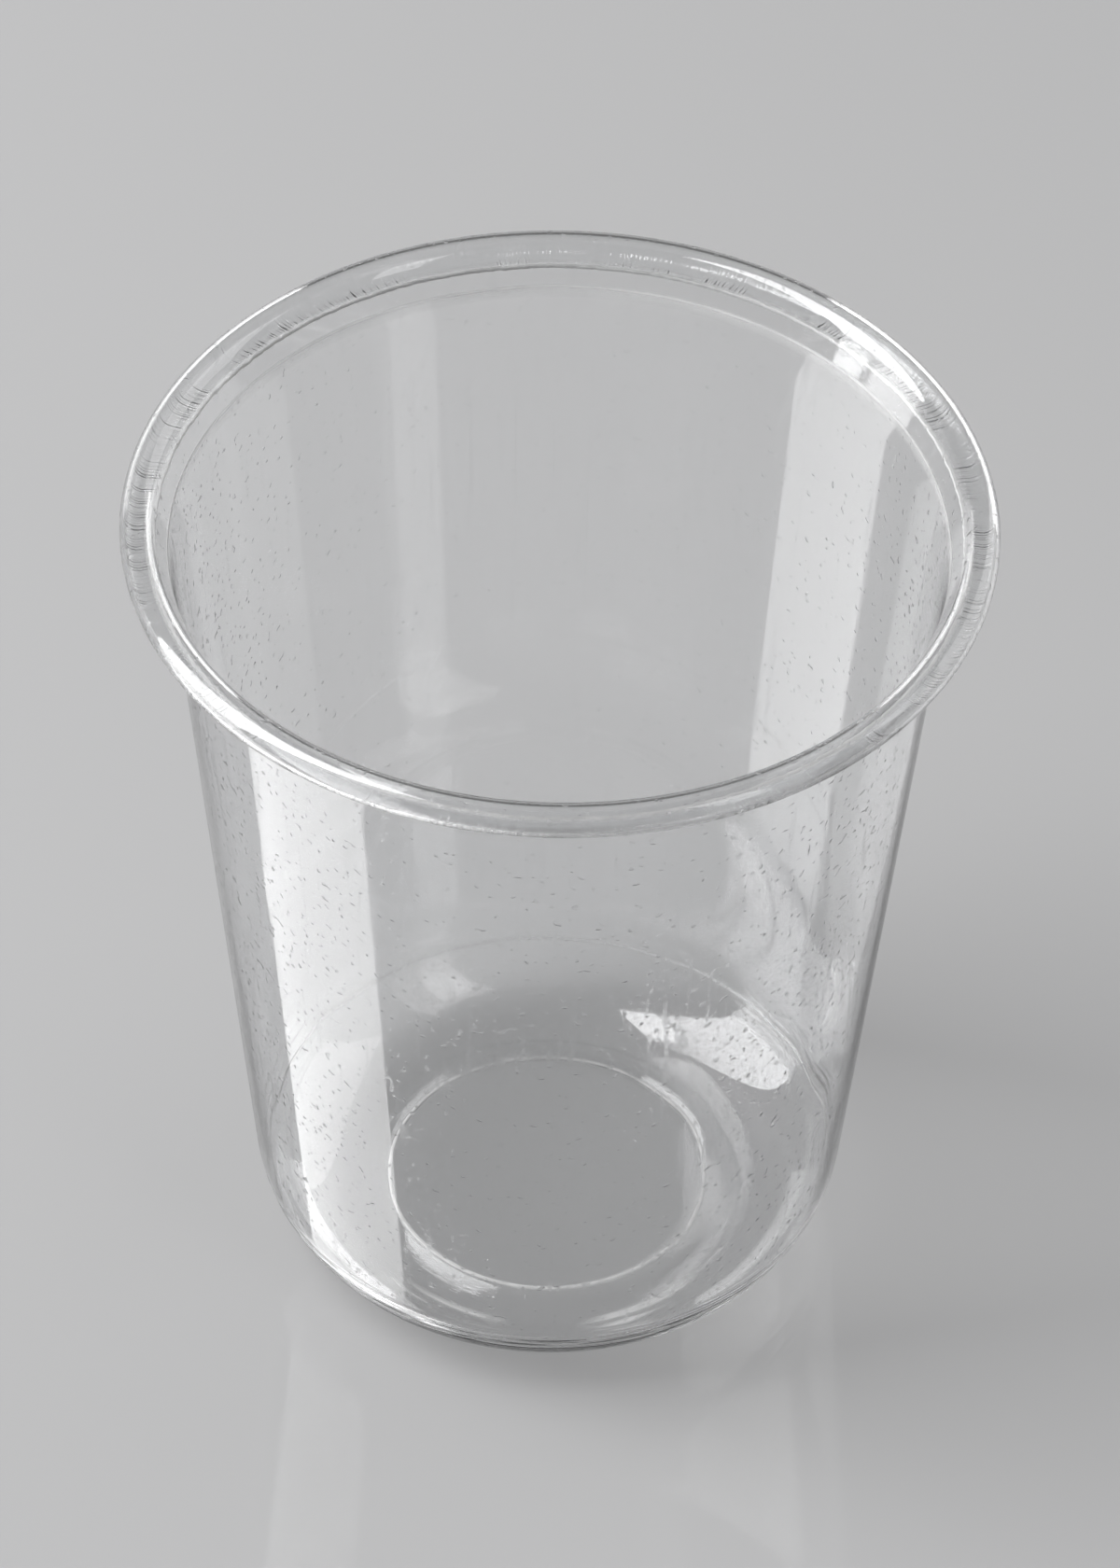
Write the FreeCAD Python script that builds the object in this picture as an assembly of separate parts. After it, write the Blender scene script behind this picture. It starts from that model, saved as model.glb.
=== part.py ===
import FreeCAD, Part
import math
import os

# Clear plastic tumbler: one thin moulded shell of revolution with a rolled rim.
# Millimetres, +Z up, origin at the middle of the base, on the surface it stands on.
# The section is drawn along the outer face of the sheet, from the axis of the cup
# to the cut edge under the roll, and the thickness is laid on its other side.

# Overall
height = 105.95
rim_radius = 47.5
wall = 0.4

# Rolled rim, hollow inside, and the gap that its cut edge keeps from the collar
roll_radius = 1.85
roll_end_degrees = -100
lip_gap = 0.3

# Sharp ring where the collar starts, inside and below the rim
ring_inset = 4.8
ring_drop = 4.9

# Bend at the top of the wall, and the draft of the straight wall below it
bend_rise = 4.0
bend_degrees = 4.5
draft_degrees = 5.5

# Rounded corner in two arcs that meet in a fine crease, set in from the wall's line
crease_height = 7.4
crease_inset = 0.8
upper_corner_rise = 4.1
lower_corner_radius = 12.5

# Narrow ring that the cup stands on, and the raised disc inside it, whose slope
# is steep at the disc and runs out towards the ring
foot_inset = 9.9
foot_width = 0.7
slope_run = 4.0
slope_sag = 0.25
disc_rise = 1.3


def point(radius, level):
    """A place on the section."""
    return FreeCAD.Vector(radius, 0, level)


def step(degrees, length=1):
    """A move on the section, at an angle from outward towards up."""
    angle = math.radians(degrees)
    return point(math.cos(angle), math.sin(angle)) * length


def right_of(way):
    """Unit step to the right of a way along the section."""
    return point(way.z, -way.x).normalize()


def arc(start, end, bulge):
    """An arc whose middle stands off its chord, to the right of the way along it."""
    middle = (start + end) / 2 + right_of(end - start) * bulge
    return Part.Arc(start, middle, end).toShape()


def arc_of_radius(start, end, radius):
    """An arc that bulges to the right, with a given radius."""
    half_chord = start.distanceToPoint(end) / 2
    return arc(start, end, radius - math.sqrt(radius ** 2 - half_chord ** 2))


def arc_to_tangent(start, end, end_degrees):
    """An arc that arrives at its end along a given direction."""
    chord = end - start
    half_turn = math.radians(end_degrees) - math.atan2(chord.z, chord.x)
    return arc(start, end, chord.Length / 2 * math.tan(half_turn / 2))


def ring_point():
    """Sharp ring where the bend of the wall ends and the collar starts."""
    return point(rim_radius - ring_inset, height - ring_drop)


def bend_point():
    """Foot of the bend, whose chord leans half-way between its two directions."""
    lean = math.radians(draft_degrees + bend_degrees / 2)
    return ring_point() - point(bend_rise * math.tan(lean), bend_rise)


def wall_point(level, inset=0):
    """A place on the straight line of the wall, or inside it."""
    bend = bend_point()
    drawn_in = (bend.z - level) * math.tan(math.radians(draft_degrees))
    return point(bend.x - drawn_in - inset, level)


def base_edges():
    """Raised disc, its slope and the narrow ring that the cup stands on."""
    foot_outer = wall_point(0, foot_inset)
    foot_inner = foot_outer - point(foot_width, 0)
    disc_edge = foot_inner - point(slope_run, -disc_rise)
    disc_middle = point(0, disc_rise)
    disc = Part.makeLine(disc_middle, disc_edge)
    slope = arc(disc_edge, foot_inner, slope_sag)
    foot = Part.makeLine(foot_inner, foot_outer)
    return [disc, slope, foot]


def wall_edges():
    """Corner, straight wall and the bend at its top."""
    foot_outer = wall_point(0, foot_inset)
    crease = wall_point(crease_height, crease_inset)
    corner_top = wall_point(crease_height + upper_corner_rise)
    wall_degrees = 90 - draft_degrees
    lower_corner = arc_of_radius(foot_outer, crease, lower_corner_radius)
    upper_corner = arc_to_tangent(crease, corner_top, wall_degrees)
    straight = Part.makeLine(corner_top, bend_point())
    bend = arc_to_tangent(bend_point(), ring_point(), wall_degrees - bend_degrees)
    return [lower_corner, upper_corner, straight, bend]


def rim_edges():
    """Collar that flares into the roll, the roll and the lip that ends it."""
    ring = ring_point()
    hollow_radius = roll_radius - wall
    centre = point(rim_radius - roll_radius, height - roll_radius)
    way = centre - ring
    collar_angle = math.atan2(way.z, way.x) + math.asin(hollow_radius / way.Length)
    roll_start_degrees = math.degrees(collar_angle) + 90
    roll_middle_degrees = (roll_start_degrees + roll_end_degrees) / 2
    roll_start = centre + step(roll_start_degrees, hollow_radius)
    roll_middle = centre + step(roll_middle_degrees, hollow_radius)
    roll_end = centre + step(roll_end_degrees, hollow_radius)
    collar = Part.makeLine(ring, roll_start)
    roll = Part.Arc(roll_start, roll_middle, roll_end).toShape()
    lip_way = step(roll_end_degrees - 90)
    off_collar = right_of(roll_start - ring)
    lip_length = (lip_gap - off_collar.dot(roll_end - ring)) / off_collar.dot(lip_way)
    lip = Part.makeLine(roll_end, roll_end + lip_way * lip_length)
    return [collar, roll, lip]


def build_cup():
    outer_face = Part.Wire(base_edges() + wall_edges() + rim_edges())
    section = outer_face.makeOffset2D(wall, fill=True, openResult=True)
    return section.revolve(point(0, 0), point(0, 1), 360)


os.makedirs("parts", exist_ok=True)
cup = build_cup()
cup.exportStep("parts/cup.step")
print("cup", cup.ShapeType, cup.isValid(), round(cup.Volume, 1), cup.optimalBoundingBox())
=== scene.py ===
from math import asin, atan2, cos, degrees, exp, hypot, pi, radians, sin, tan

import bpy
import numpy as np
from mathutils import Matrix, Vector


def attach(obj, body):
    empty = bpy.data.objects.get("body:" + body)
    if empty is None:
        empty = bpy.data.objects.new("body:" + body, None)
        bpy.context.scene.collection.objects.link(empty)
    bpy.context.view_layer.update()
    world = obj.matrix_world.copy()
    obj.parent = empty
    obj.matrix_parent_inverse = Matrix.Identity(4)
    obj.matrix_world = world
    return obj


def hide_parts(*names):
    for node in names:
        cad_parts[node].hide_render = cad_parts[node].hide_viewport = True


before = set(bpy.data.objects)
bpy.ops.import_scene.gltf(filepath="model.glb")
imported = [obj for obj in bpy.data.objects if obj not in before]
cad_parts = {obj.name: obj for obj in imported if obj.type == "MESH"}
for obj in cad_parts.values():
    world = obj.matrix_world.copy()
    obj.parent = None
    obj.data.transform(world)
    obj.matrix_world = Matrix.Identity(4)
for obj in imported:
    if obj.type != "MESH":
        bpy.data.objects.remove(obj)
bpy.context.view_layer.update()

scene = bpy.context.scene
mm = 0.001


# Shader maths

class Wire:                     # a socket that takes part in Python expressions
    def __init__(self, socket):
        self.socket = socket

    def maths(self, operation, *values):
        inputs = dict(enumerate(values))
        return Tree(self.socket.id_data).add("ShaderNodeMath", {"operation": operation}, inputs)

    def __add__(self, other):
        return self.maths("ADD", self, other)

    def __radd__(self, other):
        return self.maths("ADD", other, self)

    def __sub__(self, other):
        return self.maths("SUBTRACT", self, other)

    def __rsub__(self, other):
        return self.maths("SUBTRACT", other, self)

    def __mul__(self, other):
        return self.maths("MULTIPLY", self, other)

    def __rmul__(self, other):
        return self.maths("MULTIPLY", other, self)

    def size(self):
        return self.maths("ABSOLUTE", self)

    def highest(self, other):
        return self.maths("MAXIMUM", self, other)

    def clip(self, low, high):  # 0 at low, 1 at high, straight between
        return Tree(self.socket.id_data).add("ShaderNodeMapRange", {"clamp": True}, {
            "Value": self, "From Min": low, "From Max": high, "To Min": 0.0, "To Max": 1.0})


class Tree:
    def __init__(self, nodeTree):
        self.nodeTree = nodeTree

    def add(self, kind, settings=None, inputs=None, out=0):  # out is one output or "all"
        made = self.nodeTree.nodes.new(kind)
        for name, value in (settings or {}).items():
            setattr(made, name, value)
        for name, value in (inputs or {}).items():
            if isinstance(value, Wire):
                self.nodeTree.links.new(value.socket, made.inputs[name])
            else:
                made.inputs[name].default_value = value
        if out == "all":
            return [Wire(output) for output in made.outputs]
        return Wire(made.outputs[out]) if made.outputs else made

    def stretch(self, vector, scale):
        return self.add("ShaderNodeVectorMath", {"operation": "MULTIPLY"}, {0: vector, 1: scale})

    def noise(self, vector, scale, detail=0.0):
        return self.add("ShaderNodeTexNoise", {}, {"Vector": vector, "Scale": scale, "Detail": detail})

    def spots(self, vector, pattern, detail=0.0):  # pattern: scale, and the noise that counts as 0 and as 1
        scale, low, high = pattern
        return self.noise(vector, scale, detail).clip(low, high)


def newMaterial(name):
    material = bpy.data.materials.new(name)
    material.use_nodes = True
    material.node_tree.nodes.clear()
    return material, Tree(material.node_tree)


# Form of the cup

cupShape = {                    # lengths in mm, turns in degrees
    "height": 105.95,
    "rimRadius": 47.5,
    "wall": 0.4,
    "rollRadius": 1.85,         # rolled rim, over its outside
    "rollEnd": -100.0,
    "lipGap": 0.3,              # from the cut edge to the collar
    "ringInset": 4.8,           # sharp ring between the wall and the collar
    "ringDrop": 4.9,
    "bendRise": 4.0,            # bend at the top of the wall
    "bendTurn": 4.5,
    "draft": 5.5,
    "creaseHeight": 7.4,        # where the two arcs of the corner meet
    "creaseInset": 0.8,
    "upperCornerRise": 4.1,
    "lowerCornerRadius": 12.5,
    "lowerArc": 12.45,          # radii of the corner's arcs between their rounded ends
    "upperArc": 11.35,
    "footInset": 9.9,           # narrow ring that the cup stands on
    "footWidth": 0.7,
    "slopeRun": 4.0,            # from the raised disc down to the foot
    "slopeSag": 0.25,
    "discRise": 1.3,
    "innerEdge": 0.06,          # rounding of sharp edges
    "outerEdge": 0.5,
    "ringEdge": 0.25,
    "waveDepth": 0.018,         # slow waves of the wall, and their counts round the cup
    "waveCounts": (2, 3, 5, 8, 13),
    "thicknessDepth": 0.012,    # and of the wall's thickness
    "thicknessCounts": (4, 7, 12, 19, 31),
    "waveStart": (3, 20),       # levels
    "waveEnd": (11, 6),         # below the top
    "ribDepth": 0.018,          # fine ribs across the underside of the roll
    "ribStart": (88, 112),      # turn of the roll
    "rippleDepth": 0.012,       # rings pressed in round the foot
    "ripplePitch": 0.62,
    "rippleStart": (18.8, 19.6),
    "rippleEnd": (24.5, 26.6),
    # fine beads inside: depth and width
    "discBead": (0.075, 0.14),
    "creaseBead": (0.085, 0.13),
    "footBead": (0.04, 0.35),
    "footBeadRadius": 22.5,
    # edges worn white and painted as highlight lines: share and width
    "discWhite": (0.85, 0.14),
    "creaseWhite": (0.5, 0.13),
    "ringWhite": (0.5, 0.14),
    "lipWhite": 0.7,
    "streakHighlight": 0.75,        # painted highlight streaks round the front of the foot
    "streakPitch": 0.34,
    "streakCells": 16,
    "streakStart": (21.6, 22.4),        # distances from the axis
    "streakEnd": (23.6, 26.0),
    "streakTop": (1.2, 1.5),
    "streakInner": (3, 8),      # distances to the left and right
    "streakOuter": (15, 19),
    "streakFront": (12, 17),    # and to the front
    "raggedLip": 0.11,          # unevenness of the cut edge
    "raggedCells": ((420, 0.6, 31), (67, 0.4, 32), (900, 0.35, 33)),    # cells, share, seed
    "knobCells": 280,           # small knobs on it
    "knobStart": 0.86,
    "knobReach": 9.0,
    "cutBead": (0.05, 0.03),    # roundness of the cut edge, and its change
    "dentDepth": 0.07,          # small dent of the wall
    "dentTurn": -138.6,
    "dentLevel": 72.6,
    "dentRadius": 1.3,
}
discPoints, wallPoints, rimPoints = 120, 240, 960   # round the cup, each some whole times the one before


def wayOf(heading):
    return np.array((cos(heading), sin(heading)))


def leftOf(heading):
    return np.array((-sin(heading), cos(heading)))


def headingOf(start, end):
    return atan2(end[1] - start[1], end[0] - start[0])


def distance(start, end):
    return hypot(end[0] - start[0], end[1] - start[1])


def radiusFor(start, end, turn):  # of an arc between two places
    return distance(start, end) / 2 / sin(radians(turn) / 2)


def wallPoint(shape, bend, level, inset=0.0):  # on the straight line of the wall, or inside it
    return np.array((bend[0] - (bend[1] - level) * tan(radians(shape["draft"])) - inset, level))


def pointsOf(shape):            # main places of the section: radius and level of the outer face
    ring = np.array((shape["rimRadius"] - shape["ringInset"], shape["height"] - shape["ringDrop"]))
    lean = radians(shape["draft"] + shape["bendTurn"] / 2)
    bend = ring - (shape["bendRise"] * tan(lean), shape["bendRise"])
    footOuter = wallPoint(shape, bend, 0, shape["footInset"])
    footInner = footOuter - (shape["footWidth"], 0)
    return {
        "disc": footInner + (-shape["slopeRun"], shape["discRise"]),
        "footInner": footInner,
        "footOuter": footOuter,
        "crease": wallPoint(shape, bend, shape["creaseHeight"], shape["creaseInset"]),
        "cornerTop": wallPoint(shape, bend, shape["creaseHeight"] + shape["upperCornerRise"]),
        "bend": bend,
        "ring": ring,
        "rollCentre": np.array((shape["rimRadius"], shape["height"])) - shape["rollRadius"],
    }


class Section:                  # the outer face of the sheet, from the axis to the cut edge
    def __init__(self):
        self.rows = []          # place, heading, zone, points round the cup, whether for the inside only

    def add(self, place, heading, zone, points, inside=False):
        self.rows.append((np.array(place, float), heading, zone, points, inside))

    def steps(self, start, end, reaches, *rest, **more):  # reaches below 0 count back from the end
        heading = headingOf(start, end)
        if self.rows and heading - self.rows[-1][1] > pi:   # the roll has turned past half a turn
            heading -= 2 * pi
        for reach in reaches:
            base = np.array(end if reach < 0 else start, float)
            self.add(base + wayOf(heading) * reach, heading, *rest, **more)

    def line(self, start, end, count, *rest, margin=0.12):
        self.steps(start, end, np.linspace(margin, distance(start, end) - margin, count), *rest)

    # the outside keeps one row in every few
    def arc(self, start, before, after, radius, count, *rest, every=1):
        before, after = radians(before), radians(after)
        side = 1 if after > before else -1
        centre = np.array(start, float) + side * radius * leftOf(before)
        for k, heading in enumerate(np.linspace(before, after, count)):
            kept = k % every == 0 or k == count - 1
            self.add(centre - side * radius * leftOf(heading), heading, *rest, inside=not kept)

    def arcOn(self, turn, radius, count, *rest, every=1):  # goes on from the last row
        place, heading = self.rows.pop()[:2]
        heading = degrees(heading)
        self.arc(place, heading, heading + turn, radius, count + 1, *rest, every=every)

    def corner(self, place, before, after, radius, count, *rest):
        reach = radius * abs(tan(radians(after - before) / 2))
        self.arc(place - reach * wayOf(radians(before)), before, after, radius, count, *rest)

    def last(self):
        return self.rows[-1][0]


def addBase(section, shape, points):  # raised disc, its slope and the foot
    disc, footInner, footOuter = points["disc"], points["footInner"], points["footOuter"]
    middle = (0, disc[1])
    slope = degrees(headingOf(disc, footInner))
    half = 2 * degrees(atan2(shape["slopeSag"], distance(disc, footInner) / 2))  # half of the slope's turn
    slopeRadius = radiusFor(disc, footInner, 2 * half)
    spare = 0.6                 # degrees that the rounded edges take from the slope
    close = (0.9, 0.5, 0.32, 0.24, 0.17, 0.11, 0.05)    # rows by the disc's edge, in mm from it
    section.line(middle, disc, 6, "disc", discPoints, margin=1.5)
    section.steps(middle, disc, [-reach for reach in close], "disc", wallPoints, inside=True)
    section.corner(disc, 0, slope - half, shape["innerEdge"], 3, "disc", wallPoints)
    section.arcOn(2 * half - spare, slopeRadius, 34, "slope", wallPoints, every=5)
    section.corner(footInner, slope + half, 0, shape["outerEdge"], 3, "slope", wallPoints)


def addWall(section, shape, points):  # rounded corner in two arcs, straight wall and its bend
    footOuter, crease, cornerTop = points["footOuter"], points["crease"], points["cornerTop"]
    wallWay = 90 - shape["draft"]
    lowerHalf = degrees(asin(distance(footOuter, crease) / 2 / shape["lowerCornerRadius"]))
    lowerStart = degrees(headingOf(footOuter, crease)) - lowerHalf
    upperHalf = wallWay - degrees(headingOf(crease, cornerTop))
    upperStart = wallWay - 2 * upperHalf
    lowerTurn = 2 * lowerHalf
    ripple = 18.0               # degrees of the lower arc with close rows for the ripples
    fine = 1.6                  # and of both arcs by the crease
    section.corner(footOuter, 0, lowerStart, shape["outerEdge"], 3, "foot", wallPoints)
    lower, upper = shape["lowerArc"], shape["upperArc"]
    section.arcOn(ripple, lower, 20, "corner", wallPoints, every=4)
    section.arcOn(lowerTurn - ripple - fine, lower, 21, "corner", wallPoints, every=2)
    section.arcOn(fine, lower, 6, "corner", wallPoints, every=6)
    section.arcOn(upperStart - lowerStart - lowerTurn, shape["innerEdge"], 2, "corner", wallPoints)
    section.arcOn(fine, upper, 6, "corner", wallPoints, every=6)
    section.arcOn(2 * upperHalf - fine, upper, 6, "corner", wallPoints, every=2)
    section.line(section.last(), points["bend"], 26, "wall", wallPoints, margin=1.2)
    bendRadius = radiusFor(points["bend"], points["ring"], shape["bendTurn"])
    bendEnd = wallWay - shape["bendTurn"]
    section.arc(points["bend"], wallWay, bendEnd + 0.1, bendRadius, 4, "wall", wallPoints)
    return bendEnd


def addRim(section, shape, points, bendEnd):  # collar, hollow roll and the lip that ends it
    ring, centre = points["ring"], points["rollCentre"]
    hollow = shape["rollRadius"] - shape["wall"]
    collarHeading = headingOf(ring, centre) + asin(hollow / distance(ring, centre))
    collarWay = degrees(collarHeading)
    collarEnd = centre + hollow * leftOf(collarHeading)
    lipWay = shape["rollEnd"] - 90
    section.corner(ring, bendEnd, collarWay, shape["ringEdge"], 4, "ring", wallPoints)
    section.line(ring, collarEnd, 4, "collar", wallPoints, margin=0.25)
    section.arc(collarEnd, collarWay, lipWay, hollow, 27, "roll", rimPoints, every=2)
    rollEnd, lipStep, offCollar = section.last(), wayOf(radians(lipWay)), -leftOf(collarHeading)
    lipLength = (shape["lipGap"] - offCollar @ (rollEnd - ring)) / (offCollar @ lipStep)
    lipReaches = (0.129, 0.42, 0.71, 0.9685)    # shares of the lip
    section.steps(rollEnd, rollEnd + lipStep, [lipLength * share for share in lipReaches], "lip", rimPoints)


def cupSection(shape, points):
    section = Section()
    addBase(section, shape, points)
    bendEnd = addWall(section, shape, points)
    addRim(section, shape, points, bendEnd)
    return section.rows


def fade(value, low, high):
    ramp = np.clip((value - low) / (high - low), 0, 1)
    return ramp * ramp * (3 - 2 * ramp)


def waves(counts, angle, slide, seed):  # smooth sum of waves round the cup that drift with slide
    dice = np.random.RandomState(seed)
    total = np.zeros_like(angle)
    for count in counts:
        phase, drift, size = dice.uniform(0, 2 * pi), dice.uniform(-0.05, 0.05), dice.uniform(0.4, 1)
        total += size * np.sin(count * angle + phase + drift * slide) / len(counts) ** 0.5
    return total


def grain(cells, angle, seed):  # uneven steps round the cup, one value for each cell with smooth joins
    values = np.random.RandomState(seed).uniform(-1, 1, cells)
    place = (angle / (2 * pi) % 1) * cells
    low = np.floor(place).astype(int)
    blend = fade(place - low, 0, 1)
    return values[low % cells] * (1 - blend) + values[(low + 1) % cells] * blend


def wallMove(shape, side, radius, level, angle):  # slow waves and the dent
    share = fade(level, *shape["waveStart"]) * fade(shape["height"] - level, *reversed(shape["waveEnd"]))
    move = share * shape["waveDepth"] * waves(shape["waveCounts"], angle, level, seed=11)
    if side == "inner":
        move += share * shape["thicknessDepth"] * waves(shape["thicknessCounts"], angle, level, seed=12)
    around = (angle - radians(shape["dentTurn"]) + pi) % (2 * pi) - pi
    reach = np.hypot(around * radius, level - shape["dentLevel"]) / shape["dentRadius"]
    return move + shape["dentDepth"] * np.exp(-reach * reach)


def rippleMove(shape, radius, angle):   # rings round the foot
    share = fade(radius, *shape["rippleStart"]) * (1 - fade(radius, *shape["rippleEnd"]))
    share = share * (0.55 + 0.45 * waves((2, 3, 7), angle, 0, seed=15))
    turn = 1.5 * waves((1, 2, 3, 5), angle, radius * 8, seed=13)
    return share * shape["rippleDepth"] * np.sin(2 * pi * radius / shape["ripplePitch"] + turn)


def beadMove(shape, place, points, angle):  # fine raised lines inside
    foot = (shape["footBeadRadius"], 0.0)
    move = 0.0
    for edge, name in (points["disc"], "disc"), (points["crease"], "crease"), (foot, "foot"):
        depth, width = shape[name + "Bead"]
        move += depth * exp(-(distance(place, edge) / width) ** 2)
    return move * (1 + 0.25 * waves((3, 5, 9), angle, 0, seed=14))


def ribMove(shape, side, heading, angle):  # ribs of the roll, from its outermost line down to the cut edge
    around = degrees(heading)
    depth = fade(-around, *shape["ribStart"]) * shape["ribDepth"]
    if side == "outer":
        return -depth * 0.4 * grain(240, angle, seed=24)
    ribs = grain(331, angle + 0.0004 * around, seed=21) + 0.5 * grain(477, angle, seed=22)
    return -depth * np.abs(ribs * (0.6 + 0.4 * grain(29, angle, seed=23)))


def faceMove(shape, points, side, row, angle):  # how far a face moves to the left of the section, in mm
    place, heading, zone = row[:3]
    move = np.zeros_like(angle)
    if zone in ("wall", "corner"):
        move += wallMove(shape, side, *place, angle)
    if side == "inner":
        move += beadMove(shape, place, points, angle)
        if zone in ("slope", "foot", "corner"):
            move += rippleMove(shape, place[0], angle)
    if zone in ("roll", "lip"):
        move += ribMove(shape, side, heading, angle)
    return move


def lipSlide(shape, zone, reach, angle):  # how far a row of the lip moves along the section, in mm
    if zone != "lip":
        return np.zeros_like(angle)
    ragged = sum(share * grain(cells, angle, seed) for cells, share, seed in shape["raggedCells"])
    knobs = np.clip(grain(shape["knobCells"], angle, seed=34) - shape["knobStart"], 0, 1)
    return shape["raggedLip"] * reach * (ragged - 0.5 + knobs * shape["knobReach"])


def anglesOf(side, row):
    isHollow = side == "outer" and row[2] == "roll"     # the hollow of the roll is smooth
    points = wallPoints if isHollow else row[3]
    return np.arange(points) * 2 * pi / points


def ringOf(shape, points, side, row, reach=0.0):  # one row, turned round the axis
    place, heading, zone = row[:3]
    angle = anglesOf(side, row)
    left, way = leftOf(heading), wayOf(heading)
    base = place + (shape["wall"] * left if side == "inner" else 0)
    move = faceMove(shape, points, side, row, angle)
    slide = lipSlide(shape, zone, reach, angle)
    radius = base[0] + move * left[0] + slide * way[0]
    level = base[1] + move * left[1] + slide * way[1]
    return np.stack((radius * np.cos(angle), radius * np.sin(angle), level), 1) * mm


def cutRings(shape, points, row):  # the rounded cut edge, from the outer face to the inner one
    outer = ringOf(shape, points, "outer", row, 1.0)
    inner = ringOf(shape, points, "inner", row, 1.0)
    angle = anglesOf("inner", row)
    way = wayOf(row[1])
    outward = np.stack((np.cos(angle) * way[0], np.sin(angle) * way[0], np.full_like(angle, way[1])), 1)
    depth, change = shape["cutBead"]
    bead = (depth + change * grain(260, angle, seed=41))[:, None] * mm
    rings = []
    for turn in radians(35), radians(90), radians(145):
        share = (1 - cos(turn)) / 2
        rings.append(outer * (1 - share) + inner * share + outward * bead * sin(turn))
    return rings


def sew(rings):  # faces between rings, where one ring holds some whole times the points of the other
    points = [(0, 0, rings[0][0][2])]
    starts = []
    for ring in rings:
        starts.append(len(points))
        points.extend(map(tuple, ring))
    points.append((0, 0, rings[-1][0][2]))
    first, last = len(rings[0]), len(rings[-1])
    faces = [(0, starts[0] + (k + 1) % first, starts[0] + k) for k in range(first)]
    for a, b, ringA, ringB in zip(starts, starts[1:], rings, rings[1:]):
        few = min(len(ringA), len(ringB))
        timesA, timesB = len(ringA) // few, len(ringB) // few
        for k in range(few):
            low = [a + (k * timesA + j) % len(ringA) for j in range(timesA + 1)]
            high = [b + (k * timesB + j) % len(ringB) for j in range(timesB + 1)]
            faces.append((*low, *reversed(high)))
    faces += [(starts[-1] + k, starts[-1] + (k + 1) % last, len(points) - 1) for k in range(last)]
    return points, faces


def footHighlightStreaks(shape, radius, level, angle):  # painted highlight streaks on both sides of the front of the foot
    row = radius / shape["streakPitch"]
    low = int(row)
    marks = [grain(shape["streakCells"], angle, seed=50 + k) for k in (low, low + 1)]
    marks = marks[0] * (low + 1 - row) + marks[1] * (row - low)
    zone = fade(radius, *shape["streakStart"]) * (1 - fade(radius, *shape["streakEnd"]))
    zone *= 1 - fade(level, *shape["streakTop"])
    aside, front = abs(radius * np.cos(angle)), -radius * np.sin(angle)
    part = fade(aside, *shape["streakInner"]) * (1 - fade(aside, *shape["streakOuter"]))
    return shape["streakHighlight"] * fade(marks, 0.0, 0.6) * zone * part * fade(front, *shape["streakFront"])


def whiteAndHighlightShare(shape, points, row, reach):  # how white a row is: the worn cut edge of the lip, sharp edges worn white that also paint their highlight lines, and painted highlight streaks at the foot
    place, heading, zone = row[:3]
    angle = anglesOf("inner", row)
    if zone == "lip":
        return shape["lipWhite"] * fade(reach, 0.5, 1.0) * (0.85 + 0.15 * grain(200, angle, seed=60))
    share = footHighlightStreaks(shape, *place, angle)
    # whitening of the sharp edges: partly wear, partly painted highlight lines
    for name in "disc", "crease", "ring":
        white, width = shape[name + "White"]
        nearness = exp(-(distance(place, points[name]) / width) ** 2)
        share = np.maximum(share, white * nearness * (0.85 + 0.15 * grain(110, angle, seed=61)))
    return share


def buildCup(shape, material):
    points = pointsOf(shape)
    rows = cupSection(shape, points)
    lipCount = sum(row[2] == "lip" for row in rows)
    # 0 up to the lip, 1 at the cut edge
    reaches = [max(0, k + 1 + lipCount - len(rows)) / lipCount for k in range(len(rows))]
    under = [fade(-degrees(row[1]), 80, 150) for row in rows]
    white = [whiteAndHighlightShare(shape, points, row, reach) for row, reach in zip(rows, reaches)]
    outside = [k for k, row in enumerate(rows) if not row[4]]
    inside = range(len(rows) - 1, -1, -1)
    cuts = cutRings(shape, points, rows[-1])
    rings = [ringOf(shape, points, "outer", rows[k], reaches[k]) for k in outside] + cuts
    rings += [ringOf(shape, points, "inner", rows[k], reaches[k]) for k in inside]
    # worn cut edge and painted highlights: on the lip outside, on every row inside
    wornAndPaintedHighlight = [white[k] if rows[k][2] == "lip" else 0.0 for k in outside] + [1.0] * len(cuts)
    wornAndPaintedHighlight += [white[k] for k in inside]
    underRoll = [under[k] for k in outside] + [1.0] * len(cuts) + [under[k] for k in inside]
    places, faces = sew(rings)
    mesh = bpy.data.meshes.new("cupShell")
    mesh.from_pydata(places, [], faces)
    mesh.validate()
    mesh.shade_smooth()
    mesh.materials.append(material)
    for name, shares in ("wornAndPaintedHighlight", wornAndPaintedHighlight), ("underRoll", underRoll):
        values = [np.broadcast_to(share, len(ring)) for share, ring in zip(shares, rings)]
        values = np.concatenate([[0.0], *values, [0.0]])    # and the points on the axis
        mesh.attributes.new(name, "FLOAT", "POINT").data.foreach_set("value", values)
    shell = bpy.data.objects.new("cupShell", mesh)
    scene.collection.objects.link(shell)
    print("cup shell built of", sum(len(face) - 2 for face in faces), "triangles")
    return shell


# Clear plastic

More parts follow.
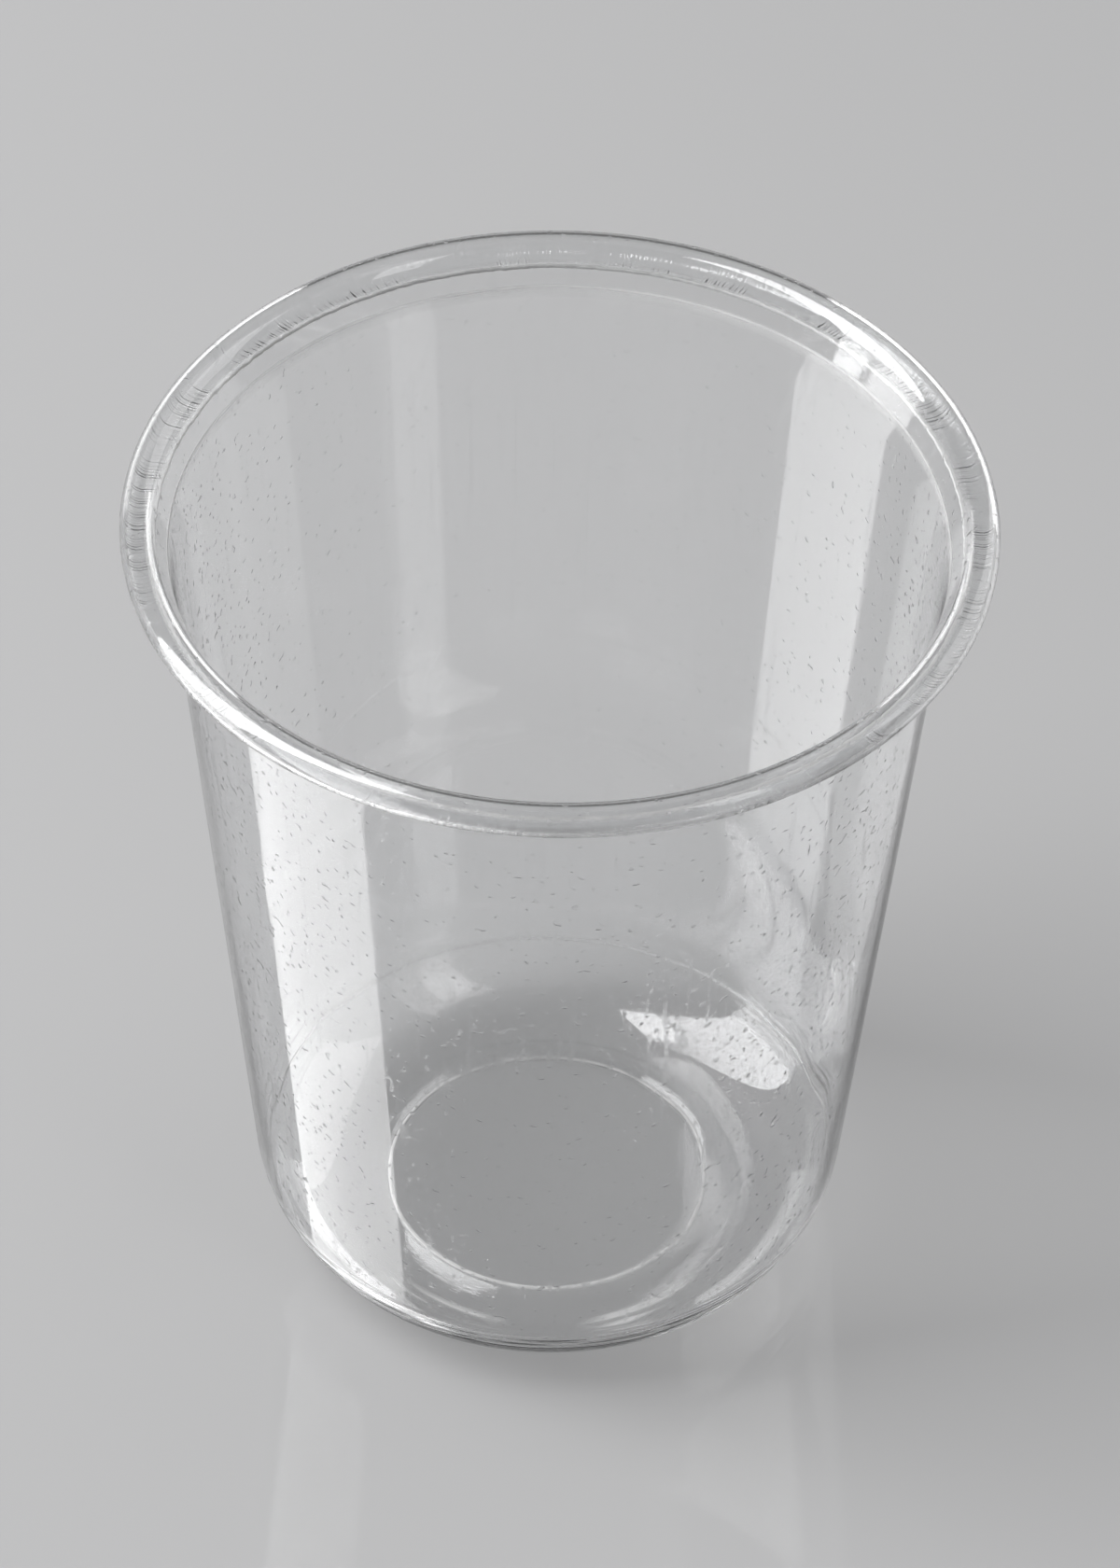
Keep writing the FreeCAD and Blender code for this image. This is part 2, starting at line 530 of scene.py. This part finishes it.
plasticLook = {                 # depths in mm
    "ior": 1.57,
    "tint": (0.972, 0.975, 0.978, 1),
    "wearTint": (0.91, 0.915, 0.92, 1),
    "frostAndHighlightColour": (0.9, 0.9, 0.9, 1),        # rough cut edge, worn edges and painted highlights
    "shadowTint": (0.965, 0.965, 0.965, 1),
    "shadowEdge": (0.66, 0.66, 0.66, 1),
    "roughness": 0.012,
    "haze": 0.025,
    "wearRoughness": 0.2,
    "cutRoughness": 0.45,
    "ribRoughness": 0.1,
    "speckDepth": 0.0125,
    "ringDepth": 0.28,          # streaky rings beside the crease
    "ringScale": 1700.0,
    "ringStart": (5.4, 6.8),    # levels
    "ringEnd": (8.4, 11.0),
    "ribDepth": 0.15,           # fine ribs under the roll
    "ribScale": 140.0,
    "edgeBlend": 0.35,          # how early the sheet's edges shade lamps
    "plainFrom": 3,             # faces that light has met
    # patterns: scale, and the noise that counts as 0 and as 1
    "patches": (30.0, 0.35, 0.65),
    "brushed": (1400.0, 0.62, 0.76),
    "hairs": (1000.0, 0.74, 0.8),
    "gaps": (160.0, 0.3, 0.5),
    "specks": (1300.0, 0.74, 0.79),
    "ribPatches": (200.0, 0.3, 0.6),
    "smudges": (600.0, 0.3, 0.6),
    "hairTurns": ((0.5, 0.35, 0.2), (-0.7, 0.2, 0.9)),
    "brushedShare": 0.4,
    "hairShare": 0.5,
    "scratchShare": 0.7,
    # long scratches: degrees round the cup, lowest and highest level, width
    "scratches": (
        (91.2, 70.0, 98.0, 0.12), (85.5, 52.0, 97.0, 0.10), (97.5, 60.0, 92.0, 0.12),
        (93.0, 84.0, 95.0, 0.16), (-132.0, 60.0, 88.0, 0.12), (-128.0, 34.0, 58.0, 0.14),
        (-154.0, 66.0, 90.0, 0.12), (20.0, 30.0, 74.0, 0.10), (-62.0, 20.0, 61.0, 0.10)),
}


def longScratches(tree, place, scratches):
    x, y, level = tree.add("ShaderNodeSeparateXYZ", {}, {0: place}, out="all")
    around = y.maths("ARCTAN2", y, x)
    radius = 38.0               # of the wall, about half-way up
    fadeIn = 6.0                # length over which a scratch sets in
    total = None
    for turn, low, high, width in scratches:
        half = width / radius
        line = (around - radians(turn)).size().clip(half, half * 0.3)
        mark = line * level.clip(low * mm, (low + fadeIn) * mm)
        mark = mark * level.clip(high * mm, (high - fadeIn) * mm)
        total = mark if total is None else total.highest(mark)
    return total


def creaseRings(tree, place, look):  # streaky rings beside the crease, as a height from 0 to 1
    x, y, level = tree.add("ShaderNodeSeparateXYZ", {}, {0: place}, out="all")
    drawnOut = tree.add("ShaderNodeCombineXYZ", {}, {0: level, 1: 0.06 * x, 2: 0.06 * y})
    start, full = [height * mm for height in look["ringStart"]]
    fading, end = [height * mm for height in look["ringEnd"]]
    return tree.noise(drawnOut, look["ringScale"]) * level.clip(start, full) * level.clip(end, fading)


def fineHairs(tree, place, look):  # thin slanting scratches in two directions
    hairs = []
    for turn in look["hairTurns"]:
        slanted = tree.add("ShaderNodeMapping", {}, {
            "Vector": place, "Rotation": turn, "Scale": (1.0, 1.0, 0.05)})
        hairs.append(tree.spots(slanted, look["hairs"]))
    return hairs[0].highest(hairs[1])


def plasticShader(tree, look, inputs):
    return tree.add("ShaderNodeBsdfPrincipled", {}, {
        "IOR": look["ior"], "Transmission Weight": 1.0, **inputs})


def bumpOf(tree, height, depth):
    return tree.add("ShaderNodeBump", {}, {"Height": height, "Strength": 1.0, "Distance": depth * mm})


def scratchedSheet(tree, place, look):
    patches = tree.spots(place, look["patches"])
    upright = tree.stretch(place, (1.0, 1.0, 0.03))     # draws scratches out along the wall
    brushed = tree.spots(upright, look["brushed"], 1.0) * patches
    marks = longScratches(tree, place, look["scratches"]) * tree.spots(place, look["gaps"])
    specks = tree.spots(place, look["specks"])
    hairs = fineHairs(tree, place, look)
    wear = look["brushedShare"] * brushed + look["hairShare"] * hairs + look["scratchShare"] * marks
    wear = (wear + specks).clip(0.0, 1.0)
    tint = tree.add("ShaderNodeMix", {"data_type": "RGBA"}, {
        0: wear, 6: look["tint"], 7: look["wearTint"]}, out=2)
    rings = creaseRings(tree, place, look)
    relief = specks * (look["speckDepth"] / look["ringDepth"]) + rings
    return plasticShader(tree, look, {
        "Base Color": tint,
        "Roughness": look["roughness"] + look["haze"] * patches + look["wearRoughness"] * wear,
        "Normal": bumpOf(tree, relief, look["ringDepth"])})


def ribbedRoll(tree, place, look):  # ribs across the roll: the same all the way out from the axis
    outward = tree.add("ShaderNodeVectorMath", {"operation": "NORMALIZE"}, {
        0: tree.stretch(place, (1.0, 1.0, 0.0))})
    ribs = tree.noise(outward, look["ribScale"], 1.0) * tree.spots(place, look["ribPatches"])
    return plasticShader(tree, look, {
        "Base Color": look["tint"],
        "Roughness": look["roughness"] + look["ribRoughness"] * tree.spots(place, look["smudges"], 1.0),
        "Normal": bumpOf(tree, ribs, look["ribDepth"])})


def lampLight(tree, look):      # lamps shine through the sheet, less where they graze it
    facing = tree.add("ShaderNodeLayerWeight", {}, {"Blend": look["edgeBlend"]}, out="Facing")
    through = tree.add("ShaderNodeBsdfTransparent", {}, {"Color": look["shadowTint"]})
    grazing = tree.add("ShaderNodeBsdfTransparent", {}, {"Color": look["shadowEdge"]})
    return tree.add("ShaderNodeMixShader", {}, {0: facing, 1: through, 2: grazing})


def clearPlastic(look):
    material, tree = newMaterial("clearPlastic")
    place = tree.add("ShaderNodeTexCoord", out="Object")
    wornAndPaintedHighlight = tree.add("ShaderNodeAttribute", {"attribute_name": "wornAndPaintedHighlight"}, out="Fac")
    underRoll = tree.add("ShaderNodeAttribute", {"attribute_name": "underRoll"}, out="Fac")
    # light that has met several faces meets plain ones from there on
    plain = plasticShader(tree, look, {"Base Color": look["tint"], "Roughness": 0.0})
    deep = tree.add("ShaderNodeLightPath", out="Ray Depth").clip(look["plainFrom"] - 1, look["plainFrom"])
    sheet = tree.add("ShaderNodeMixShader", {}, {0: deep, 1: scratchedSheet(tree, place, look), 2: plain})
    clear = tree.add("ShaderNodeMixShader", {}, {0: underRoll, 1: sheet, 2: ribbedRoll(tree, place, look)})
    # the cut edge is torn and white; sharp edges are worn white and painted as highlight lines, and painted
    # highlight streaks lie round the front of the foot
    frostedAndHighlight = tree.add("ShaderNodeBsdfPrincipled", {}, {
        "Base Color": look["frostAndHighlightColour"], "Roughness": look["cutRoughness"], "IOR": look["ior"]})
    solid = tree.add("ShaderNodeMixShader", {}, {0: wornAndPaintedHighlight, 1: clear, 2: frostedAndHighlight})
    passing = lampLight(tree, look)
    surface = solid
    for kind in "Is Diffuse Ray", "Is Shadow Ray":
        ray = tree.add("ShaderNodeLightPath", out=kind)
        surface = tree.add("ShaderNodeMixShader", {}, {0: ray, 1: surface, 2: passing})
    tree.add("ShaderNodeOutputMaterial", {}, {"Surface": surface})
    print("clear plastic made")
    return material


# Floor, lamps and camera

floorLook = {
    "colour": (0.54, 0.54, 0.545, 1),
    "patchColour": (0.5292, 0.5292, 0.5341, 1),
    "patchScale": 6.0,
    "roughness": 0.05,
    "ior": 1.36,
    "mirrorIor": 3.0,           # as the cup's own gloss shows it
    "halfWidth": 3.0,           # m
    "drop": 0.02,               # mm below the foot
}

studio = {                      # m; a lamp runs from the middle of its low edge to that of its high edge
    "world": 0.14,
    # low edge, high edge, width, strength
    "leftSoftbox": ((-1.45, 0, 0.01), (-0.45, 0, 1.6), 0.72, 6.0),
    "rightSoftbox": ((1.46, 0.76, 0.1), (0.98, 0.51, 1.3), 1.45, 1.05),
    "backStrip": ((0.77, 1.41, 0.01), (0.77, 1.41, 0.42), 0.9, 2.5),
    "backLeftStrip": ((-0.77, 1.41, 0.01), (-0.77, 1.41, 0.42), 0.9, 1.5),
    "frontStrip": ((1.1, -1.14, 0.4), (0.75, -0.78, 1.3), 0.35, 1.5),
}

cameraView = {
    "eye": (0, -0.6416, 0.6928),
    "target": (0.00055, 0, 0.0647),
    "roll": 1.1785,             # degrees
    "lens": 185.27,
    "sensor": 36,
}

bounces = {
    "max_bounces": 16,
    "diffuse_bounces": 2,
    "glossy_bounces": 6,
    "transmission_bounces": 16,
    "transparent_max_bounces": 32,
}


def paleFloor(look):
    material, tree = newMaterial("paleFloor")
    place = tree.add("ShaderNodeTexCoord", out="Object")
    colour = tree.add("ShaderNodeMix", {"data_type": "RGBA"}, {
        0: tree.noise(place, look["patchScale"], 3.0), 6: look["patchColour"], 7: look["colour"]}, out=2)
    satin = tree.add("ShaderNodeBsdfPrincipled", {}, {
        "Base Color": colour, "Roughness": look["roughness"], "IOR": look["ior"]})
    polished = tree.add("ShaderNodeBsdfPrincipled", {}, {
        "Base Color": colour, "Roughness": 0.0, "IOR": look["mirrorIor"]})
    mirrored = tree.add("ShaderNodeLightPath", out="Glossy Depth").clip(0.0, 1.0)
    surface = tree.add("ShaderNodeMixShader", {}, {0: mirrored, 1: satin, 2: polished})
    tree.add("ShaderNodeOutputMaterial", {}, {"Surface": surface})
    return material


def buildFloor(look):
    half = look["halfWidth"]
    corners = [(-half, -half, 0), (half, -half, 0), (half, half, 0), (-half, half, 0)]
    mesh = bpy.data.meshes.new("floor")
    mesh.from_pydata(corners, [], [(0, 1, 2, 3)])
    mesh.materials.append(paleFloor(look))
    floor = bpy.data.objects.new("floor", mesh)
    floor.location.z = -look["drop"] * mm
    scene.collection.objects.link(floor)
    print("floor laid")


def placed(right, up, back, middle):  # the matrix of a lamp or camera that looks away from back
    return Matrix((
        (right.x, up.x, back.x, middle.x), (right.y, up.y, back.y, middle.y),
        (right.z, up.z, back.z, middle.z), (0, 0, 0, 1)))


def softbox(name, low, high, width, strength):
    low, high = Vector(low), Vector(high)
    rise = (high - low).normalized()
    middle = (low + high) / 2
    across = rise.cross(middle).normalized()
    light = bpy.data.lights.new(name, "AREA")
    light.shape = "RECTANGLE"
    light.size, light.size_y = width, (high - low).length
    light.energy = strength * light.size * light.size_y * pi
    lamp = bpy.data.objects.new(name, light)
    lamp.matrix_world = placed(across, rise, across.cross(rise), middle)
    scene.collection.objects.link(lamp)


def buildLight(look):
    world = bpy.data.worlds.new("studio")
    scene.world = world
    world.use_nodes = True
    back = world.node_tree.nodes["Background"]
    back.inputs["Color"].default_value = (1, 1, 1, 1)
    back.inputs["Strength"].default_value = look["world"]
    for name, lamp in look.items():
        if name != "world":
            softbox(name, *lamp)
    print("lamps placed")


def buildCamera(look):
    eye, roll = Vector(look["eye"]), radians(look["roll"])
    ahead = (Vector(look["target"]) - eye).normalized()
    right = ahead.cross(Vector((0, 0, 1))).normalized()
    up = right.cross(ahead)
    data = bpy.data.cameras.new("camera")
    data.sensor_width, data.lens = look["sensor"], look["lens"]
    data.clip_start, data.clip_end = 0.01, 20
    camera = bpy.data.objects.new("camera", data)
    across = right * cos(roll) + up * sin(roll)
    above = up * cos(roll) - right * sin(roll)
    camera.matrix_world = placed(across, above, -ahead, eye)
    scene.collection.objects.link(camera)
    scene.camera = camera
    print("camera placed")


shell = buildCup(cupShape, clearPlastic(plasticLook))
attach(shell, "root")
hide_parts("cup")
buildFloor(floorLook)
buildLight(studio)
buildCamera(cameraView)
scene.view_settings.view_transform = "Standard"
for name, value in bounces.items():
    setattr(scene.cycles, name, value)
